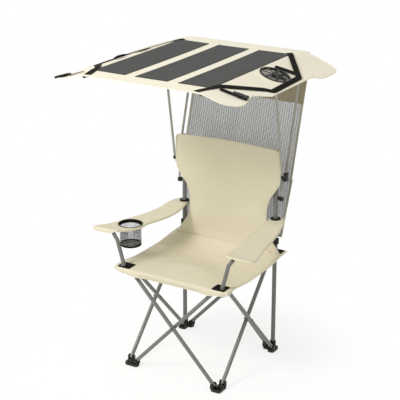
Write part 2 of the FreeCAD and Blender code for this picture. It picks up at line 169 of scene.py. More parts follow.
def woven_cloth(name, light, mid, deep, yarn_mm=1.1):
    """Coated polyester cloth: plain weave, soft mottling and a sewn hem."""
    m, t = start(name)
    uv = add(t, "ShaderNodeTexCoord").outputs["UV"]
    body = add(t, "ShaderNodeTexCoord").outputs["Object"]
    yarn = weave(t, uv, yarn_mm)
    blots = noise(t, body, 160.0, 3.0)
    slub = noise(t, uv, 9.0, 4.0)
    base = mixed(t, blots, colour(mid), colour(light))
    base = mixed(t, maths(t, "MULTIPLY", slub, 0.10), base, colour(deep))
    base = mixed(t, maths(t, "MULTIPLY", maths(t, "SUBTRACT", 1.0, yarn), 0.10), base, colour(deep))
    hem, sewn = stitches(t, 7.0, 4.2)
    worn = maths(t, "LESS_THAN", hem, 0.0022)
    base = mixed(t, maths(t, "MULTIPLY", worn, 0.25), base, colour("F4EFDE"))
    base = mixed(t, maths(t, "MULTIPLY", sewn, 0.45), base, colour(deep))
    ease = noise(t, body, 75.0, 1.0)
    height = maths(t, "ADD", maths(t, "MULTIPLY", yarn, 0.25), maths(t, "MULTIPLY", ease, 1.6))
    height = maths(t, "SUBTRACT", height, maths(t, "MULTIPLY", sewn, 0.8))
    rough = maths(t, "ADD", maths(t, "MULTIPLY", yarn, 0.10), 0.74)
    finish(t, base, rough, height, 0.9, 0.5, Sheen_Weight=0.18, Sheen_Roughness=0.5, Specular_IOR_Level=0.25)
    return m


def webbing(name, base_code, edge_code):
    """Nylon webbing: ribs across the strap and a herringbone face."""
    m, t = start(name)
    uv = add(t, "ShaderNodeTexCoord").outputs["UV"]
    ribs = bands(t, uv, 2.4, "Y")
    twill = bands(t, uv, 3.0, "DIAGONAL")
    face = maths(t, "MULTIPLY", ribs, twill)
    fuzz = noise(t, uv, 6.0, 3.0)
    base = mixed(t, maths(t, "MULTIPLY", face, 0.6), colour(base_code), colour(edge_code))
    base = mixed(t, maths(t, "MULTIPLY", fuzz, 0.25), base, colour(edge_code))
    hem, sewn = stitches(t, 2.6, 3.2)
    base = mixed(t, maths(t, "MULTIPLY", sewn, 0.5), base, colour("4A4842"))
    rough = maths(t, "ADD", maths(t, "MULTIPLY", fuzz, 0.2), 0.62)
    finish(t, base, rough, face, 0.5, 0.6, Specular_IOR_Level=0.05)
    return m


def drawn_steel(name, light, deep):
    """Thin drawn tube under a satin grey coat, with fine draw lines and handling marks."""
    m, t = start(name)
    body = add(t, "ShaderNodeTexCoord").outputs["Object"]
    long = add(t, "ShaderNodeMapping", {"Vector": body, "Scale": (1.0, 1.0, 0.08)}).outputs[0]
    draw = noise(t, long, 2.5, 3.0)
    scuff = noise(t, body, 24.0, 5.0)
    base = mixed(t, draw, colour(deep), colour(light))
    base = mixed(t, maths(t, "MULTIPLY", scuff, 0.25), base, colour(deep))
    rough = maths(t, "ADD", maths(t, "MULTIPLY", scuff, 0.12), 0.16)
    finish(t, base, rough, draw, 0.05, 0.4, Metallic=0.05, Specular_IOR_Level=0.22)
    return m


def moulded_plastic(name, base_code, worn_code, dusty=False):
    """Moulded nylon: fine spark texture, dulled by handling."""
    m, t = start(name)
    body = add(t, "ShaderNodeTexCoord").outputs["Object"]
    grain = noise(t, body, 0.9, 2.0)
    hand = noise(t, body, 18.0, 4.0)
    base = mixed(t, maths(t, "MULTIPLY", hand, 0.30), colour(base_code), colour(worn_code))
    if dusty:
        height = add(t, "ShaderNodeSeparateXYZ", {0: body}).outputs["Z"]
        low = maths(t, "SUBTRACT", 1.0, maths(t, "MULTIPLY", height, 80.0))
        low = maths(t, "MULTIPLY", maths(t, "MAXIMUM", low, 0.0), hand)
        base = mixed(t, maths(t, "MULTIPLY", low, 0.6), base, colour("6E685C"))
    rough = maths(t, "ADD", maths(t, "MULTIPLY", hand, 0.25), 0.36)
    finish(t, base, rough, grain, 0.12, 0.5, Specular_IOR_Level=0.25)
    return m


def turned_rivet(name):
    """Plated rivet heads with faint turning rings."""
    m, t = start(name)
    body = add(t, "ShaderNodeTexCoord").outputs["Object"]
    rings = add(t, "ShaderNodeTexWave", {"Vector": body, "Scale": WAVE_SCALE / 0.9, "Distortion": 1.5},
                wave_type="RINGS").outputs["Fac"]
    stain = noise(t, body, 3.0, 3.0)
    base = mixed(t, stain, colour("3B3A36"), colour("5C5A55"))
    rough = maths(t, "ADD", maths(t, "MULTIPLY", stain, 0.2), 0.26)
    finish(t, base, rough, rings, 0.04, 0.4, Metallic=0.9)
    return m


def knitted_net(name, thread, dark, cell_mm, hole, wale_mm):
    """Open knit: square gaps between threads, with heavier upright wales in broken dashes."""
    m, t = start(name)
    uv = add(t, "ShaderNodeTexCoord").outputs["UV"]
    part = add(t, "ShaderNodeSeparateXYZ", {0: uv})
    wobble = maths(t, "MULTIPLY", noise(t, uv, 60.0, 2.0), 0.4)
    u = maths(t, "MULTIPLY_ADD", part.outputs["X"], 1000.0 / cell_mm, wobble)
    v = maths(t, "MULTIPLY", part.outputs["Y"], 1000.0 / cell_mm)
    w = maths(t, "MULTIPLY_ADD", part.outputs["X"], 1000.0 / wale_mm, wobble)
    gap_u = maths(t, "LESS_THAN", maths(t, "FRACT", u), hole)
    gap_v = maths(t, "LESS_THAN", maths(t, "FRACT", v), hole)
    step = maths(t, "MULTIPLY", maths(t, "FLOOR", w), 0.37)
    dash = maths(t, "FRACT", maths(t, "MULTIPLY_ADD", part.outputs["Y"], 1000.0 / 30.0, step))
    wale = maths(t, "LESS_THAN", maths(t, "FRACT", w), 0.42)
    wale = maths(t, "MULTIPLY", wale, maths(t, "LESS_THAN", dash, 0.9))
    gap = maths(t, "MULTIPLY", gap_u, gap_v)
    base = mixed(t, wale, colour(thread), colour(dark))
    base = mixed(t, maths(t, "MULTIPLY", noise(t, uv, 12.0, 3.0), 0.3), base, colour(dark))
    height = maths(t, "ADD", bands(t, uv, cell_mm, "X"), bands(t, uv, cell_mm, "Y"))
    finish(t, base, 0.8, height, 0.2, 0.5, Alpha=maths(t, "SUBTRACT", 1.0, gap), Sheen_Weight=0.1)
    return m


def solar_film(name):
    """Flexible solar laminate: dark cells with thin contact lines under a satin film."""
    m, t = start(name)
    uv = add(t, "ShaderNodeTexCoord").outputs["UV"]
    part = add(t, "ShaderNodeSeparateXYZ", {0: uv})
    cell = maths(t, "FRACT", maths(t, "MULTIPLY", part.outputs["Y"], 1000.0 / 38.0))
    line = maths(t, "LESS_THAN", cell, 0.035)
    finger = bands(t, uv, 3.0, "X")
    grain = noise(t, uv, 1.6, 2.0)
    haze = noise(t, uv, 90.0, 2.0)
    base = mixed(t, haze, colour("313230"), colour("393937"))
    base = mixed(t, maths(t, "MULTIPLY", finger, 0.12), base, colour("4B4B47"))
    base = mixed(t, maths(t, "MULTIPLY", line, 0.25), base, colour("262726"))
    hem, sewn = stitches(t, 3.2, 3.6)
    rim = maths(t, "LESS_THAN", hem, 0.005)
    base = mixed(t, maths(t, "MULTIPLY", rim, 0.45), base, colour("2F2F2D"))
    rough = maths(t, "ADD", maths(t, "MULTIPLY", haze, 0.12), 0.46)
    height = maths(t, "ADD", maths(t, "MULTIPLY", grain, 0.4), maths(t, "MULTIPLY", line, -1.0))
    finish(t, base, rough, height, 0.15, 0.5, Specular_IOR_Level=0.12)
    return m


CREAM = woven_cloth("woven_polyester_cream", "E3DCC4", "D8D0B8", "A9A18A")
ROOF = woven_cloth("woven_polyester_cream_canopy", "F3EEDC", "ECE6D1", "C0B8A0")
# Cream cloth in darker tones: painted shade for the underside of the canopy's rear drop, which lies in shadow
PAINTED_SHADE_BAND = woven_cloth("woven_polyester_cream_painted_shade_band", "A89E8A", "978E7B", "6E6656")
BORDER = woven_cloth("bias_tape_grey_border", "B9B6A9", "ABA89B", "7E7B70", 0.8)
PIPING = woven_cloth("bias_tape_ivory_piping", "F3EFE0", "EBE6D4", "BDB59C", 0.8)
STRAP = webbing("nylon_webbing_black", "0F0E0A", "1D1B16")
PATCH = webbing("nylon_patch_black", "0F0E0A", "1D1B16")
STEEL = drawn_steel("drawn_steel_tube_satin_grey", "838380", "686866")
ROD = drawn_steel("drawn_steel_rod_pale_grey", "AEADA6", "96958F")
RIVET = turned_rivet("plated_steel_rivet")
PLASTIC = moulded_plastic("moulded_nylon_black", "12110D", "2B2924")
FOOT = moulded_plastic("moulded_nylon_black_foot", "12110D", "2B2924", True)
NET = knitted_net("knitted_net_grey", "C6C9CC", "6E7275", 3.4, 0.52, 10.4)
CUP_NET = knitted_net("knitted_net_black", "3A3A3A", "1C1C1C", 3.0, 0.84, 15.0)
CUP_BASE = knitted_net("knitted_net_grey_base", "C4C4C0", "8E8E8A", 3.0, 0.50, 15.0)
FAN_NET = knitted_net("knitted_net_ivory", "EFECE4", "D9D6CC", 2.2, 0.45, 9.0)
SOLAR = solar_film("solar_film_laminate")

KINDS = (("leg_", STEEL), ("upright_", STEEL), ("post_", STEEL), ("mast_clip", PLASTIC), ("mast_", ROD),
         ("rod_", ROD), ("rail_", ROD), ("sleeve_", STEEL), ("rivets_", RIVET), ("foot_", FOOT))
for name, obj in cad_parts.items():
    finishes = [m for prefix, m in KINDS if name.startswith(prefix)] or [PLASTIC]
    obj.data.materials.clear()
    obj.data.materials.append(finishes[0])


# Mesh builders

def mesh_object(name, verts, faces, materials, uv=None, values=None, face_material=None, sharp=0.9):
    data = bpy.data.meshes.new(name)
    data.from_pydata(metres(verts).tolist(), [], [list(map(int, f)) for f in faces])
    for m in materials:
        data.materials.append(m)
    if face_material is not None:
        data.polygons.foreach_set("material_index", np.asarray(face_material, np.int32))
    for key, value in (values or {}).items():
        data.attributes.new(key, "FLOAT", "POINT").data.foreach_set("value", np.asarray(value, np.float32))
    if uv is not None:
        corner = np.empty(len(data.loops), np.int32)
        data.loops.foreach_get("vertex_index", corner)
        layer = data.uv_layers.new(name="flat")
        layer.data.foreach_set("uv", np.asarray(uv, np.float32)[corner].ravel())
    bm = bmesh.new()
    bm.from_mesh(data)
    bmesh.ops.recalc_face_normals(bm, faces=bm.faces)
    for f in bm.faces:
        f.smooth = True
    for e in bm.edges:
        if len(e.link_faces) == 2 and e.calc_face_angle(0.0) > sharp:
            e.smooth = False
    bm.to_mesh(data)
    bm.free()
    obj = bpy.data.objects.new(name, data)
    bpy.context.scene.collection.objects.link(obj)
    return obj


def lengths(points, axis):
    """Running length along one axis of a grid of points."""
    step = np.linalg.norm(np.diff(points, axis=axis), axis=2)
    pad = [(0, 0), (0, 0)]
    pad[axis] = (1, 0)
    return np.cumsum(np.pad(step, pad), axis=axis)


def cloth(name, grid, thick, materials, hems=(1, 1, 1, 1), hem_mm=9.0, roll=0.5, choose=None, skip=None):
    """A sheet of real thickness on a grid of points: columns run across, rows along.

    hems marks the sewn edges (first column, last column, first row, last row), which are folded thicker.
    choose(point) picks a material, and skip(face) leaves a face of grid indices out.
    """
    p = np.asarray(grid, float)
    n, m = p.shape[:2]
    normal = np.cross(np.gradient(p, axis=1), np.gradient(p, axis=0))
    normal /= np.maximum(np.linalg.norm(normal, axis=2, keepdims=True), 1e-9)
    u, v = lengths(p, 1), lengths(p, 0)
    sides = [u, u[:, -1:] - u, v, v[-1:, :] - v]
    far = np.full((n, m), 1000.0)
    gaps = np.array([s if on else far for s, on in zip(sides, hems)])
    near = gaps.argmin(axis=0)
    hem = gaps.min(axis=0)
    run = np.where(near < 2, v, u)
    half = thick / 2 * (1 + roll * (1 - smooth(hem_mm, hem_mm + 2.5, hem)))
    half[hem < 0.5] *= 0.55
    push = normal * half[..., None]
    verts = np.concatenate([(p + push).reshape(-1, 3), (p - push).reshape(-1, 3)])
    index = np.arange(n * m).reshape(n, m)
    quads = [(i, j) for i in range(n - 1) for j in range(m - 1) if skip is None or not skip(i, j)]
    faces, kinds, edges = [], [], {}
    for i, j in quads:
        a = (index[i, j], index[i, j + 1], index[i + 1, j + 1], index[i + 1, j])
        kind = 0 if choose is None else choose(p[i:i + 2, j:j + 2].reshape(-1, 3).mean(axis=0))
        faces += [a, tuple(x + n * m for x in reversed(a))]
        kinds += [kind, kind]
        for k in range(4):
            edges[(a[k], a[(k + 1) % 4])] = kind
    for (a, b), kind in edges.items():
        if (b, a) not in edges:
            faces.append((b, a, a + n * m, b + n * m))
            kinds.append(kind)
    uv = np.stack([u, v], axis=2).reshape(-1, 2) / 1000.0
    values = {"hem": np.tile(hem.ravel() / 1000.0, 2), "run": np.tile(run.ravel() / 1000.0, 2)}
    obj = mesh_object(name, verts, faces, materials, np.tile(uv, (2, 1)), values, kinds)
    side_a, side_b = p[1:, 1:] - p[:-1, :-1], p[1:, :-1] - p[:-1, 1:]
    quad_area = np.linalg.norm(np.cross(side_a, side_b), axis=2) / 2
    obj["flat_w"] = float(u[:, -1].max()) / 1000.0
    obj["flat_l"] = float(v[-1, :].max()) / 1000.0
    obj["flat_area"] = float(sum(quad_area[i, j] for i, j in quads)) / 1e6
    return obj


def stations(length, step, hem=9.0):
    """Shares of a length: close together at both hems, about step apart between them."""
    ends = [x for x in (0.0, 1.2, hem * 0.5, hem, hem + 2.6) if x < length / 2]
    count = max(2, int(round((length - 2 * ends[-1]) / step)) + 1)
    middle = np.linspace(ends[-1], length - ends[-1], count)
    return np.array(ends[:-1] + list(middle) + [length - x for x in reversed(ends[:-1])]) / length


def along(points, count):
    """Points evenly spaced along a broken line."""
    p = np.asarray(points, float)
    s = np.concatenate([[0.0], np.cumsum(np.linalg.norm(np.diff(p, axis=0), axis=1))])
    t = np.linspace(0.0, s[-1], count) if np.isscalar(count) else np.asarray(count) * s[-1]
    return np.stack([np.interp(t, s, p[:, k]) for k in range(p.shape[1])], axis=1)


def flowing(points, per=10):
    """A smooth curve through the points."""
    p = np.asarray(points, float)
    q = np.concatenate([[2 * p[0] - p[1]], p, [2 * p[-1] - p[-2]]])
    out = []
    for i in range(1, len(q) - 2):
        for t in np.linspace(0, 1, per, endpoint=False):
            a, b, c, d = q[i - 1:i + 3]
            out.append(0.5 * (2 * b + (c - a) * t + (2 * a - 5 * b + 4 * c - d) * t * t
                              + (3 * b - a - 3 * c + d) * t ** 3))
    out.append(p[-1])
    return np.array(out)


def hole(grid, centre, inner, outer, stretch=1.0):
    """Draws the grid away from a round hole; returns the new grid and a test for the faces to leave out."""
    p = np.array(grid, float)
    d = p[..., :2] - np.asarray(centre)
    d[..., 0] *= stretch
    r = np.linalg.norm(d, axis=2)
    to = np.where(r < outer, inner + (outer - inner) * r / outer, r)
    scale = (to / np.maximum(r, 1e-6))[..., None]
    moved = d * scale
    moved[..., 0] /= stretch
    p[..., :2] = np.asarray(centre) + moved

    def skip(i, j):
        cell = d[i:i + 2, j:j + 2].reshape(-1, 2)
        lo, hi = cell.min(axis=0), cell.max(axis=0)
        inside = (lo <= 0).all() and (hi >= 0).all()
        return inside or r[i:i + 2, j:j + 2].min() < 0.16 * outer
    return p, skip


def ribbon(name, path, width, thick, material, up):
    """A flat strap along a path; up gives the face's direction at each point."""
    p = np.asarray(path, float)
    tangent = np.gradient(p, axis=0)
    side = np.cross(tangent, up)
    side /= np.linalg.norm(side, axis=1, keepdims=True)
    shares = np.array([-0.5, -0.46, -0.3, 0.0, 0.3, 0.46, 0.5])
    grid = p[:, None, :] + side[:, None, :] * (shares * width)[None, :, None]
    return cloth(name, grid, thick, [material], hem_mm=1.0, roll=0.0)


def ring_quad(i, j, sides, rings):
    """Corners of the quad at side j between ring i and the next."""
    here, there, beside = i * sides, (i + 1) % rings * sides, (j + 1) % sides
    return here + j, here + beside, there + beside, there + j


def piping(name, path, radius, material, sides=8):
    """Round piping along a path."""
    p = np.asarray(path, float)
    tangent = np.gradient(p, axis=0)
    tangent /= np.linalg.norm(tangent, axis=1, keepdims=True)
    ref = np.where(np.abs(tangent[:, 2:3]) > 0.9, [[1.0, 0, 0]], [[0, 0, 1.0]])
    a = np.cross(tangent, ref)
    a /= np.linalg.norm(a, axis=1, keepdims=True)
    b = np.cross(tangent, a)
    turn = np.linspace(0, 2 * np.pi, sides, endpoint=False)
    ring = np.cos(turn)[None, :, None] * a[:, None] + np.sin(turn)[None, :, None] * b[:, None]
    verts = (p[:, None] + radius * ring).reshape(-1, 3)
    n = len(p)
    faces = [ring_quad(i, j, sides, n) for i in range(n - 1) for j in range(sides)]
    faces += [tuple(range(sides))[::-1], tuple(range((n - 1) * sides, n * sides))]
    run = np.concatenate([[0], np.cumsum(np.linalg.norm(np.diff(p, axis=0), axis=1))])
    uv = np.stack([np.tile(turn * radius, n), np.repeat(run, sides)], axis=1) / 1000.0
    return mesh_object(name, verts, faces, [material], uv)


def lathe(name, profile, centre, material, sides=64):
    """A closed profile of (radius, z) turned about a vertical axis."""
    q = np.asarray(profile, float)
    turn = np.linspace(0, 2 * np.pi, sides, endpoint=False)
    verts = [(centre[0] + r * math.cos(a), centre[1] + r * math.sin(a), z) for r, z in q for a in turn]
    k = len(q)
    faces = [ring_quad(i, j, sides, k) for i in range(k) for j in range(sides)]
    uv = [(a * r / 1000.0, z / 1000.0) for r, z in q for a in turn]
    return mesh_object(name, verts, faces, [material], uv)


def place(obj, body, nodes=(), squash=None):
    """Puts a piece on its body and hides the parts it stands in for; with squash, it gets its own copy of its
    mesh.
    """
    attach(obj, body)
    if nodes:
        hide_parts(*nodes)
    if squash:
        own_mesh(obj)
    return obj


def sheet(obj):
    """Returns the sheet as it is."""
    return obj


def flipped(grid):
    """The grid mirrored to the chair's other side."""
    return np.asarray(grid, float) * (-1.0, 1.0, 1.0)


ACROSS = (1, 0, 0)
LENGTHWISE = (0, 1, 0)
FOLD_SEAT = (ACROSS, (CORNER, 0, 0), 0.25)
FOLD_ROOF = (ACROSS, (CANOPY_HALF, 0, 0), 0.375)


# Seat: a dished sling in two halves, with a front apron and turned-down sides

SEAT_EDGE = eased((-245, -215, -177, -145, -90, 0, 90, 145, 177, 240),
                  (451, 452, 450, 445, 439, 438, 439, 445, 451, 454), 16)
# Share of the dish's depth from the crease behind the front band (0) to the rear seam (300)
SEAT_DISH = eased((-200, 0, 36, 90, 144, 186, 234, 276, 300, 400),
                  (0, 0, 0.22, 0.66, 0.95, 1.0, 0.80, 0.36, 0.12, 0), 7)
SEAT_COLUMNS = np.linspace(-1, 1, 61)


def seat_z(x, y):
    """Height of the seat's cloth."""
    hang = np.cos(np.clip(x / SEAT_HALF, -1, 1) * math.pi / 2) ** 2
    crease = -205.0 + 112.0 * np.clip(1 - (x / 205.0) ** 2, 0, 1)
    middle = 451.0 - 56.0 * SEAT_DISH(300.0 * (y - crease) / (225.0 - crease))
    return SEAT_EDGE(y) - 1.5 + (middle - SEAT_EDGE(y)) * hang


def side_roll(row, drop, back=0.0):
    """Adds the turned edge at both ends of a row of points; back turns it rearwards instead of down."""
    left, right = [], []
    for out, share in ((2.4, 0.12), (4.0, 0.42), (4.7, 0.75), (4.8, 1.0)):
        turn = np.array((0.0, back * drop * share, (back - 1.0) * drop * share))
        left.insert(0, row[0] + turn - (out, 0, 0))
        right.append(row[-1] + turn + (out, 0, 0))
    return left + list(row) + right


# Each row of the apron: its y and how far it hangs below the seat's front edge
APRON = ((-249.0, 0.3), (-251.8, 1.2), (-253.6, 3.2), (-254.2, 6.2), (-253.8, 11.0), (-252.6, 19.0),
         (-250.8, 30.0))
rows = []
for y in np.linspace(0, SEAT_FRONT, 36):
    x = SEAT_COLUMNS * (SEAT_HALF - 2.0 * smooth(-232, -247, y))
    drop = 3.0 + 12.0 * smooth(-205, SEAT_FRONT, y)
    rows.append(side_roll(np.stack([x, y + 0 * x, seat_z(x, y)], axis=1), drop))
for y, down in APRON:
    turned = smooth(0, 16, down)
    x = SEAT_COLUMNS * (SEAT_HALF - 2.0 - 7.0 * turned)
    round_off = smooth(0.93, 1.0, np.abs(SEAT_COLUMNS))
    z = seat_z(x, SEAT_FRONT) - down * (1.0 - 0.34 * smooth(170, 235, np.abs(x)))
    tuck = 9.0 * smooth(3, 30, down) * (1 - smooth(120, 165, np.abs(x)))
    row = np.stack([x, y + 5.0 * round_off + tuck, z], axis=1)
    rows.append(side_roll(row, max(15.0 - down, 1.0), 0.5 * turned))
grid, skip_a = hole(np.array(rows), POST, 12.6, 24)
grid, skip_b = hole(grid, (-POST[0], POST[1]), 12.6, 24)
seat_front = cloth("seat_front_cloth", grid, CLOTH, [CREAM], hems=(1, 1, 0, 1),
                   skip=lambda i, j: skip_a(i, j) or skip_b(i, j))


def back_y(t):
    """How far back the backrest's cloth lies, by its share of the half width."""
    return 198.0 + 22.0 * (1 - np.clip(t, -1, 1) ** 2) ** 2


rows = []
for s in np.linspace(0, 1, 40):
    x = SEAT_COLUMNS * SEAT_HALF
    inner = 1 - smooth(206, 226, np.abs(x))
    end = 240.0 + inner * (back_y(x / 248.0) - 3.5 - 240.0)
    y = s * end
    curl = 8.0 * smooth(0.80, 1.04, s) * inner
    lift = seat_z(x, y) + curl
    rows.append(side_roll(np.stack([x, y, lift], axis=1), 3.0))
grid, skip_c = hole(np.array(rows), (CORNER, CORNER), 15.0, 27)
grid, skip_d = hole(grid, (-CORNER, CORNER), 15.0, 27)
seat_rear = cloth("seat_rear_cloth", grid, CLOTH, [CREAM], hems=(1, 1, 0, 0),
                  skip=lambda i, j: skip_c(i, j) or skip_d(i, j))
place(seat_front, "seat_front_half", ["seat_front"], FOLD_SEAT)
place(seat_rear, "seat_rear_half", ["seat_rear"], FOLD_SEAT)
sheet(seat_front)
sheet(seat_rear)


# Corner patches on the seat, round the posts and uprights
ROLL_START, ROLL_DOWN = (246.0, 249.0, 251.8), (0.0, 0.3, 1.2)


def patch(name, x, y, bore, half_x, half_y):
    """A patch that follows the seat and the start of the apron's roll."""
    rows = []
    for b in stations(2 * half_y, 5.0, 3.0) * 2 - 1:
        row = []
        for a in stations(2 * half_x, 5.0, 3.0) * 2 - 1:
            corner = 1 - 0.05 * abs(a * b) ** 6
            px, py = x + a * half_x * corner, y + b * half_y * corner
            over = np.interp(-py, ROLL_START, ROLL_DOWN)
            row.append((px, py, seat_z(px, max(py, SEAT_FRONT)) + 2.3 - over))
        rows.append(row)
    at = POST if y < 0 else (CORNER, CORNER)
    grid, skip = hole(np.array(rows), (math.copysign(at[0], x), at[1]), bore, bore + 9)
    return cloth(name, grid, 1.8, [PATCH], hem_mm=3.0, roll=0.3, skip=skip)


for side, sign in (("right", 1), ("left", -1)):
    front = patch("patch_front_" + side, sign * 219, -225.5, 9.4, 28.5, 26.0)
    place(front, "front_" + side + "_hub")
    sheet(front)
    rear = patch("patch_rear_" + side, sign * 230, 220, 12.5, 27.0, 18.0)
    place(rear, "rear_" + side + "_slider")
    sheet(rear)

# Backrest: a dished panel with a waist, rounded ears and sleeves over the uprights
BACK_LOW, BACK_TOP, BACK_CORNER = 453.0, 894.0, 19.0
BACK_HALF = eased((452, 458, 470, 492, 510, 530, 550, 590, 640, 682, 718, 752, 780, 830, 893),
                  (254, 248, 239, 221, 210, 197, 188, 185, 187, 201, 227, 247, 250, 250, 249), 7.0)
rows = []
for s in np.concatenate([np.linspace(0, 0.93, 74), np.linspace(0.93, 1.0, 18)[1:]]):
    z = BACK_LOW + s * (BACK_TOP - BACK_LOW)
    wide = float(BACK_HALF(z))
    over = max(z - (BACK_TOP - BACK_CORNER), 0.0)
    half = wide - BACK_CORNER + math.sqrt(max(BACK_CORNER ** 2 - over ** 2, 0.0))
    t = stations(2 * half, 9.0) * 2 - 1
    t = np.interp(np.linspace(0, 1, 65), np.linspace(0, 1, len(t)), t)
    x = t * half
    y = back_y(x / wide) + 2.0 - 6.0 * (1 - smooth(458, 492, z)) * (1 - (x / wide) ** 2)
    y = y + 7.0 * smooth(490, 540, z) * (1 - smooth(660, 715, z)) * (x / wide) ** 4
    low = -12.0 * (1 - smooth(BACK_LOW, 500, z)) * np.cos(np.clip(x / 250.0, -1, 1) * math.pi / 2)
    rows.append(np.stack([x, y, z + low], axis=1))
backrest = cloth("backrest_cloth", rows, 2.4, [CREAM], hems=(1, 1, 0, 1))
place(backrest, "rear_right", ["backrest"], FOLD_SEAT)
sheet(backrest)


# Each row of a sleeve: its height and how far it is drawn in
SLEEVE = ((813, 0), (815, 0), (822, 0), (840, -0.3), (860, -0.3), (874, 0), (882, 1.0), (887, 3.4),
          (888.5, 8.0))


def sleeve(name, sign):
    """The pocket behind an ear, round the upright's top."""
    outline = []
    for middle, first in ((227, -90), (217, 90)):
        for a in np.radians(np.linspace(first, first + 180, 13)):
            outline.append((middle + 14.0 * math.cos(a), CORNER + 14.0 * math.sin(a)))
    outline.append(outline[0])
    ring = along(outline, 61)
    rows = []
    for z, pull in SLEEVE:
        centre = np.array([222.0, CORNER])
        d = ring - centre
        d /= np.linalg.norm(d, axis=1, keepdims=True)
        rows.append(np.column_stack([(ring - d * pull) * (sign, 1), np.full(len(ring), z)]))
    return cloth(name, rows, 1.8, [CREAM], hems=(0, 0, 1, 1))


for side, sign in (("right", 1), ("left", -1)):
    pocket = place(sleeve("backrest_sleeve_" + side, sign), "rear_" + side)
    sheet(pocket)

# Arms: cloth bands that sag between post and upright, the left one with a front flap and a hole for the cup
ARM_RISE = 6.2
ARM_IN = ((253, -240), (232, -170), (227, -115), (220, -60), (210, 0), (199, 80), (194, 150), (207, 243))
ARM_OUT = ((331, -100), (307, 0), (288, 100), (268, 195), (247, 243))
ROUND_END = ((334, -247), (351, -242), (362, -229), (364, -213), (352, -178))
SQUARE_END = ((363, -243), (354, -185))
ARM_LOW = eased((-260, -228, -195, -160, -110, -60, 0, 60, 120, 165, 197, 262),
                (597, 591, 583, 578, 575.5, 574, 570.5, 568, 571.5, 580, 586, 586), 14.0)


def arm_grid(end, fall):
    """The right arm's points; end is its outer front corner and fall is how far the flap hangs."""
    share = np.linspace(0, 1, 90)
    inner = along(flowing(ARM_IN), share)
    outer = along(flowing(end + ARM_OUT), share)
    cross = stations(100.0, 6.0)
    rows = []
    for i in range(len(share)):
        flat = inner[i] + (outer[i] - inner[i]) * cross[:, None]
        flat[:, 1] -= 6.0 * np.sin(np.pi * cross) * max(0.0, 1 - share[i] / 0.12)
        row = list(np.column_stack([flat, ARM_LOW(flat[:, 1]) + ARM_RISE]))
        for edge, other, first in ((inner, outer, True), (outer, inner, False)):
            j, k = max(i - 1, 0), min(i + 1, len(share) - 1)
            run = edge[k] - edge[j]
            n = np.array((run[1], -run[0])) / max(np.linalg.norm(run), 1e-6)
            if n @ (edge[i] - other[i]) < 0:
                n = -n
            for out, down in ((1.1, 0.6), (1.9, 2.0), (2.3, 4.0), (2.4, 5.6)):
                q = np.array((*(edge[i] + n * out), ARM_LOW(edge[i][1]) + ARM_RISE - down))
                row = [q] + row if first else row + [q]
        rows.append(row)
    flap = []
    for out, share in ((2.8, 1.0), (2.8, 0.78), (2.7, 0.52), (2.5, 0.28), (1.8, 0.12), (0.8, 0.03)):
        row = np.array(rows[0])
        level = ARM_LOW(row[:, 1]) + ARM_RISE
        depth = 5.6 + fall * (smooth(262, 284, row[:, 0]) - 0.2 * smooth(346, 366, row[:, 0]))
        keep = 1 - smooth(0, 0.3, share)
        tuck = (level - row[:, 2]) * (1 - keep)
        z = level - depth * share - (level - row[:, 2]) * keep
        flap.append(np.column_stack([row[:, 0], row[:, 1] - out + tuck, z]))
    return np.array(flap + rows)


ARM_FOLD = (LENGTHWISE, (0, -231.0, 588.0), 0.307)
grid, skip_eye = hole(arm_grid(ROUND_END, 0.0), (CORNER, CORNER), 14.8, 21.0)
arm_right = cloth("arm_right_cloth", grid, CLOTH, [CREAM], skip=skip_eye)
grid, skip_eye = hole(arm_grid(SQUARE_END, 11.0), (CORNER, CORNER), 14.8, 21.0)
grid, skip_cup = hole(flipped(grid), CUP, 46.0, 60.0)
arm_left = cloth("arm_left_cloth", grid, CLOTH, [CREAM],
                 skip=lambda i, j: skip_eye(i, j) or skip_cup(i, j))
place(arm_right, "right_arm", ["arm_right"], ARM_FOLD)
place(arm_left, "left_arm", ["arm_left"], ARM_FOLD)
sheet(arm_right)
sheet(arm_left)
WASHER = ((14.6, 592.8), (21.6, 592.8), (22.2, 593.6), (21.6, 594.3), (14.6, 594.3))
for side, sign in (("right", 1), ("left", -1)):
    washer = lathe("eyelet_washer_" + side, WASHER, (sign * CORNER, CORNER), PLASTIC)
    place(washer, side + "_eyelet")

# Cup holder: a moulded rim, a bound collar, a thin net wall with two seams, a bound base and a net bottom
turn = np.linspace(0, 2 * np.pi, 24, endpoint=False)
rim_ring = [(48.8 + 2.4 * math.cos(a), CUP_Z + 2.4 * math.sin(a)) for a in turn]
rim = lathe("cup_holder_rim", rim_ring, CUP, PLASTIC, 72)
place(rim, "left_arm", ["cup_rim"], ARM_FOLD)
around = np.linspace(0, 2 * np.pi, 73)
low = 494.0
rows = []
for z in np.linspace(low, CUP_Z - 10.0, 14):
    r = 43.0 - 0.8 * math.sin(math.pi * (z - low) / 80.0)
    rows.append([(CUP[0] + r * math.cos(a), CUP[1] + r * math.sin(a), z) for a in around])
wall = cloth("cup_holder_wall", rows, 0.8, [CUP_NET], hems=(0, 0, 0, 0))
rows = []
for r in np.linspace(3, 42.0, 9):
    rows.append([(CUP[0] + r * math.cos(a), CUP[1] + r * math.sin(a), low + (r / 42.0) ** 2) for a in around])
floor_net = cloth("cup_holder_bottom", rows, 0.8, [CUP_BASE], hems=(0, 0, 0, 0))
bind = [(42.4, low - 1.0), (43.8, low - 1.2), (44.3, low + 0.6), (44.3, low + 4.6), (43.8, low + 6.0),
        (42.6, low + 6.0)]
binding = lathe("cup_holder_binding", bind, CUP, STRAP, 72)
band = [(43.0, CUP_Z - 11.0), (44.0, CUP_Z - 11.0), (47.0, CUP_Z - 2.0), (47.8, CUP_Z), (46.9, CUP_Z + 0.4),
        (46.0, CUP_Z - 2.0)]
collar = lathe("cup_holder_collar", band, CUP, STRAP, 72)
seams = []
